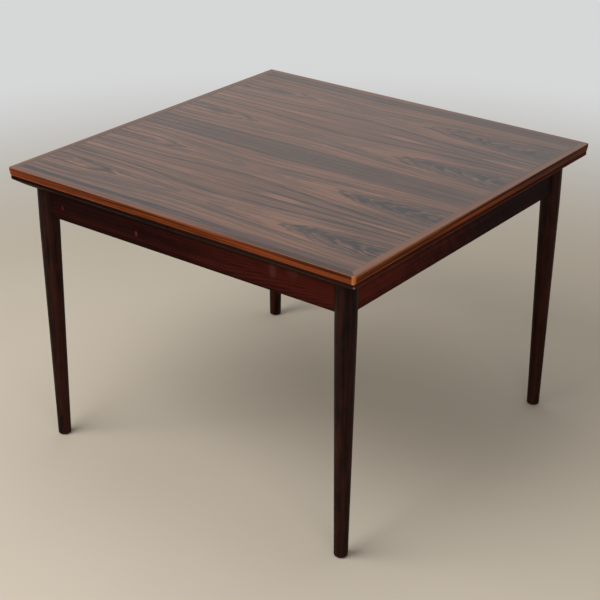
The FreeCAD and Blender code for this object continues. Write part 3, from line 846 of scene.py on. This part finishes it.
# Azimuth and elevation in degrees, distance and size in metres, strength in watts
LAMPS = {
    "key": {"azimuth": -22, "elevation": 44, "distance": 3.6, "size": 2.8, "watts": 106},
    "fill": {"azimuth": 51, "elevation": 25, "distance": 3.2, "size": 1.2, "watts": 14},
    "overhead": {"azimuth": 200, "elevation": 78, "distance": 3.4, "size": 2.6, "watts": 34},
}
LAMP_AIM = Vector((0, 0, 0.45))
BLACK = (0.0, 0.0, 0.0, 1.0)
SKY_LIGHT = 0.27
# Brightness of the backdrop, and the heights between which it changes, as sines of the elevation
BACKDROP_LEVEL = 0.68
BACKDROP_RISE = 0.32
BACKDROP_FALL = 0.66
RISE_HEIGHTS = 0.10, 0.30
FALL_HEIGHTS = 0.33, 0.52
BACKDROP_TINT = (0.99, 1.0, 1.0, 1.0)
FLOOR_REACH = 14.0
FLOOR_FADE = 1.3, 3.2
FLOOR_DARK = srgb(198, 187, 170)
FLOOR_LIGHT = srgb(203, 192, 175)


def way_back(azimuth, elevation):
    """Direction from the table to a camera or lamp."""
    return Vector((sin(azimuth) * cos(elevation), -cos(azimuth) * cos(elevation), sin(elevation)))


def place_camera():
    """Camera at the photograph's viewing angle."""
    back = way_back(AZIMUTH, ELEVATION)
    camera = bpy.data.objects.new("camera", bpy.data.cameras.new("camera"))
    camera.data.lens = LENS
    camera.rotation_mode = "QUATERNION"
    camera.rotation_quaternion = back.to_track_quat("Z", "Y") @ Quaternion((0, 0, 1), TILT)
    camera.location = TARGET + back * DISTANCE
    scene.collection.objects.link(camera)
    scene.camera = camera


def hang_lamp(name, azimuth, elevation, distance, size, watts):
    """Soft square lamp that looks at the table."""
    back = way_back(radians(azimuth), radians(elevation))
    lamp = bpy.data.objects.new(name, bpy.data.lights.new(name, "AREA"))
    lamp.data.size = size
    lamp.data.energy = watts
    lamp.location = LAMP_AIM + back * distance
    lamp.rotation_euler = back.to_track_quat("Z", "Y").to_euler()
    scene.collection.objects.link(lamp)


def seen_rays(flow):
    """1 for rays that show the studio itself, to the camera or in a gloss."""
    rays = flow.node("ShaderNodeLightPath")
    glossy = rays.other("Is Glossy Ray").most(rays.other("Is Transmission Ray"))
    return rays.other("Is Camera Ray").most(glossy)


def light_sky():
    """Even light from all round, seen as a pale backdrop."""
    scene.world = bpy.data.worlds.new("studio")
    scene.world.use_nodes = True
    tree = scene.world.node_tree
    sky = tree.nodes["Background"]
    sky.inputs["Color"].default_value = BACKDROP_TINT
    height = Flow(tree).node("ShaderNodeTexCoord", output="Generated").axes()[2]
    glow = BACKDROP_LEVEL + height.step(*RISE_HEIGHTS) * BACKDROP_RISE
    glow = glow - height.step(*FALL_HEIGHTS) * BACKDROP_FALL
    strength = SKY_LIGHT + seen_rays(glow) * (glow - SKY_LIGHT)
    tree.links.new(strength.socket, sky.inputs["Strength"])


def plain_floor(place):
    """Pale floor with the faintest mottling, which passes into the backdrop far from the table."""
    x, y, _ = place.axes()
    far = (x * x + y * y).root().step(*FLOOR_FADE) * seen_rays(place)
    colour = place.noise((2.0, 2.0, 2.0), 3.0).blend(FLOOR_DARK, FLOOR_LIGHT)
    backdrop = tuple(BACKDROP_LEVEL * share for share in BACKDROP_TINT[:3]) + (1.0,)
    return {
        "Base Color": far.blend(colour, BLACK),
        "Emission Color": far.blend(BLACK, backdrop),
        "Emission Strength": 1.0,
        "Roughness": 0.85,
        "Specular IOR Level": 0.0,
    }


def lay_floor():
    """Wide plain floor."""
    mesh = bpy.data.meshes.new("floor")
    corners = [(-FLOOR_REACH, -FLOOR_REACH, 0), (FLOOR_REACH, -FLOOR_REACH, 0),
               (FLOOR_REACH, FLOOR_REACH, 0), (-FLOOR_REACH, FLOOR_REACH, 0)]
    mesh.from_pydata(corners, [], [(0, 1, 2, 3)])
    mesh.materials.append(finish("floor", plain_floor))
    floor = bpy.data.objects.new("floor", mesh)
    scene.collection.objects.link(floor)


place_camera()
for name, lamp in LAMPS.items():
    hang_lamp(name, **lamp)
light_sky()
lay_floor()
